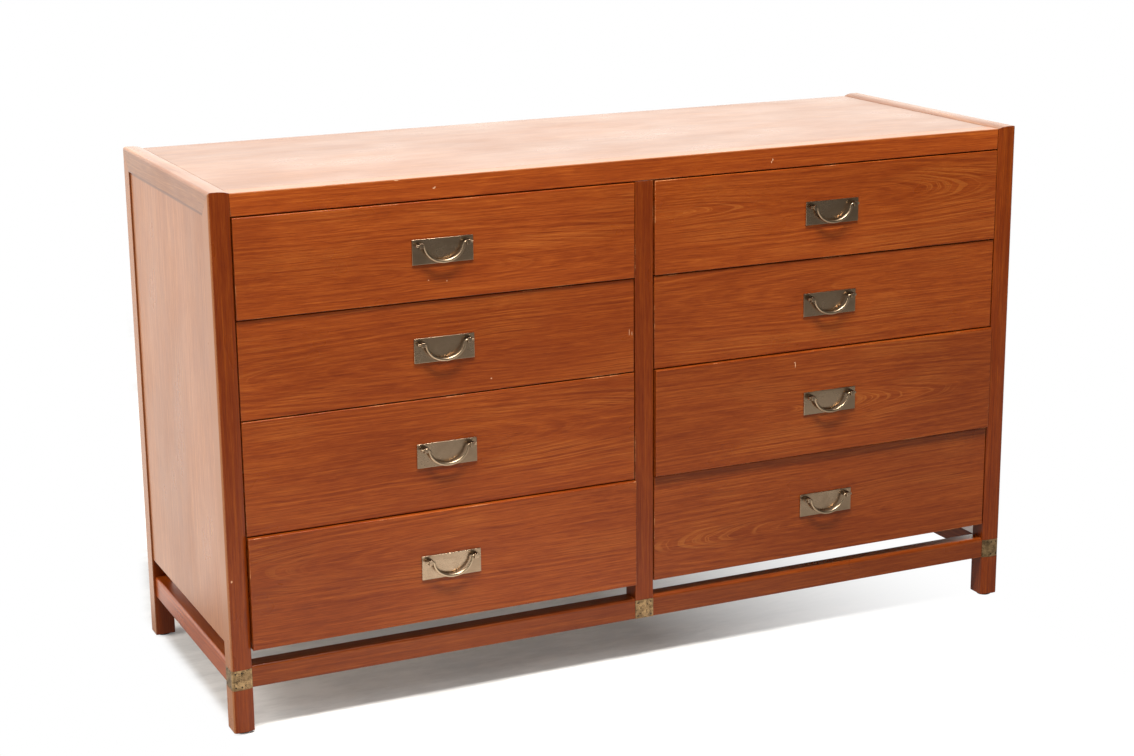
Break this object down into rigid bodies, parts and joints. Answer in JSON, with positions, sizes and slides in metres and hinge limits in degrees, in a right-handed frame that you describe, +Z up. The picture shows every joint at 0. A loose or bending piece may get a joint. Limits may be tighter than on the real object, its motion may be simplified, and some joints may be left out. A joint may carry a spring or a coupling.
{
  "type": "dresser",
  "caption": "Low campaign-style wooden dresser on a stretcher base, with two columns of deepening drawers, drop bail pulls and mitred end frames.",
  "frame": {"origin": "on the floor, under the middle of the bounding box at rest, pulls and ajar drawers included", "axes": "+X to the right along the front, +Y to the back, +Z up; the drawers open towards -Y"},
  "size_m": [1.3716, 0.5006, 0.8194],
  "materials": {
    "walnut": "satin lacquer",
    "secondary_wood": "bare",
    "back_ply": "matt stain",
    "aged_brass": "aged satin",
    "bronze": "antique bronze satin"
  },
  "bodies": {
    "case": {"back_panel": "back_ply", "bottom_board": "secondary_wood", "brass_band_centre": "aged_brass", "brass_band_left": "aged_brass", "brass_band_right": "aged_brass", "centre_partition": "secondary_wood", "dust_board_left_1": "secondary_wood", "dust_board_left_2": "secondary_wood", "dust_board_left_3": "secondary_wood", "dust_board_right_1": "secondary_wood", "dust_board_right_2": "secondary_wood", "dust_board_right_3": "secondary_wood", "post_centre": "walnut", "post_front_left": "walnut", "post_front_right": "walnut", "post_rear_left": "walnut", "post_rear_right": "walnut", "side_panel_left": "walnut", "side_panel_right": "walnut", "stretcher_front_left": "walnut", "stretcher_front_right": "walnut", "stretcher_left": "walnut", "stretcher_rear": "walnut", "stretcher_right": "walnut", "top_panel": "walnut", "top_rail_front": "walnut", "top_rail_left": "walnut", "top_rail_right": "walnut"},
    "drawer_left_1": {"drawer_front_left_1": "walnut", "drawer_box_left_1": "secondary_wood", "pull_plate_left_1": "bronze"},
    "bail_left_1": {"bail_left_1": "bronze"},
    "drawer_left_2": {"drawer_front_left_2": "walnut", "drawer_box_left_2": "secondary_wood", "pull_plate_left_2": "bronze"},
    "bail_left_2": {"bail_left_2": "bronze"},
    "drawer_left_3": {"drawer_front_left_3": "walnut", "drawer_box_left_3": "secondary_wood", "pull_plate_left_3": "bronze"},
    "bail_left_3": {"bail_left_3": "bronze"},
    "drawer_left_4": {"drawer_front_left_4": "walnut", "drawer_box_left_4": "secondary_wood", "pull_plate_left_4": "bronze"},
    "bail_left_4": {"bail_left_4": "bronze"},
    "drawer_right_1": {"drawer_front_right_1": "walnut", "drawer_box_right_1": "secondary_wood", "pull_plate_right_1": "bronze"},
    "bail_right_1": {"bail_right_1": "bronze"},
    "drawer_right_2": {"drawer_front_right_2": "walnut", "drawer_box_right_2": "secondary_wood", "pull_plate_right_2": "bronze"},
    "bail_right_2": {"bail_right_2": "bronze"},
    "drawer_right_3": {"drawer_front_right_3": "walnut", "drawer_box_right_3": "secondary_wood", "pull_plate_right_3": "bronze"},
    "bail_right_3": {"bail_right_3": "bronze"},
    "drawer_right_4": {"drawer_front_right_4": "walnut", "drawer_box_right_4": "secondary_wood", "pull_plate_right_4": "bronze"},
    "bail_right_4": {"bail_right_4": "bronze"}
  },
  "joints": [
    {"name": "drawer_slide_left_1", "type": "slide", "parent": "case", "child": "drawer_left_1", "axis": [0, -1, 0], "range_m": [-0.003, 0.347]},
    {"name": "bail_hinge_left_1", "type": "hinge", "parent": "drawer_left_1", "child": "bail_left_1", "pos_m": [-0.3349, -0.2413, 0.7169], "axis": [-1, 0, 0], "range_deg": [-10, 100]},
    {"name": "drawer_slide_left_2", "type": "slide", "parent": "case", "child": "drawer_left_2", "axis": [0, -1, 0], "range_m": [0, 0.35]},
    {"name": "bail_hinge_left_2", "type": "hinge", "parent": "drawer_left_2", "child": "bail_left_2", "pos_m": [-0.3349, -0.2383, 0.5671], "axis": [-1, 0, 0], "range_deg": [-10, 100]},
    {"name": "drawer_slide_left_3", "type": "slide", "parent": "case", "child": "drawer_left_3", "axis": [0, -1, 0], "range_m": [-0.001, 0.349]},
    {"name": "bail_hinge_left_3", "type": "hinge", "parent": "drawer_left_3", "child": "bail_left_3", "pos_m": [-0.3349, -0.2393, 0.40455], "axis": [-1, 0, 0], "range_deg": [-10, 100]},
    {"name": "drawer_slide_left_4", "type": "slide", "parent": "case", "child": "drawer_left_4", "axis": [0, -1, 0], "range_m": [-0.008, 0.342]},
    {"name": "bail_hinge_left_4", "type": "hinge", "parent": "drawer_left_4", "child": "bail_left_4", "pos_m": [-0.3349, -0.2463, 0.22925], "axis": [-1, 0, 0], "range_deg": [-10, 100]},
    {"name": "drawer_slide_right_1", "type": "slide", "parent": "case", "child": "drawer_right_1", "axis": [0, -1, 0], "range_m": [-0.002, 0.348]},
    {"name": "bail_hinge_right_1", "type": "hinge", "parent": "drawer_right_1", "child": "bail_right_1", "pos_m": [0.3349, -0.2403, 0.7169], "axis": [-1, 0, 0], "range_deg": [-10, 100]},
    {"name": "drawer_slide_right_2", "type": "slide", "parent": "case", "child": "drawer_right_2", "axis": [0, -1, 0], "range_m": [0, 0.35]},
    {"name": "bail_hinge_right_2", "type": "hinge", "parent": "drawer_right_2", "child": "bail_right_2", "pos_m": [0.3349, -0.2383, 0.5671], "axis": [-1, 0, 0], "range_deg": [-10, 100]},
    {"name": "drawer_slide_right_3", "type": "slide", "parent": "case", "child": "drawer_right_3", "axis": [0, -1, 0], "range_m": [-0.006, 0.344]},
    {"name": "bail_hinge_right_3", "type": "hinge", "parent": "drawer_right_3", "child": "bail_right_3", "pos_m": [0.3349, -0.2443, 0.40455], "axis": [-1, 0, 0], "range_deg": [-10, 100]},
    {"name": "drawer_slide_right_4", "type": "slide", "parent": "case", "child": "drawer_right_4", "axis": [0, -1, 0], "range_m": [0, 0.35]},
    {"name": "bail_hinge_right_4", "type": "hinge", "parent": "drawer_right_4", "child": "bail_right_4", "pos_m": [0.3349, -0.2383, 0.22925], "axis": [-1, 0, 0], "range_deg": [-10, 100]}
  ]
}
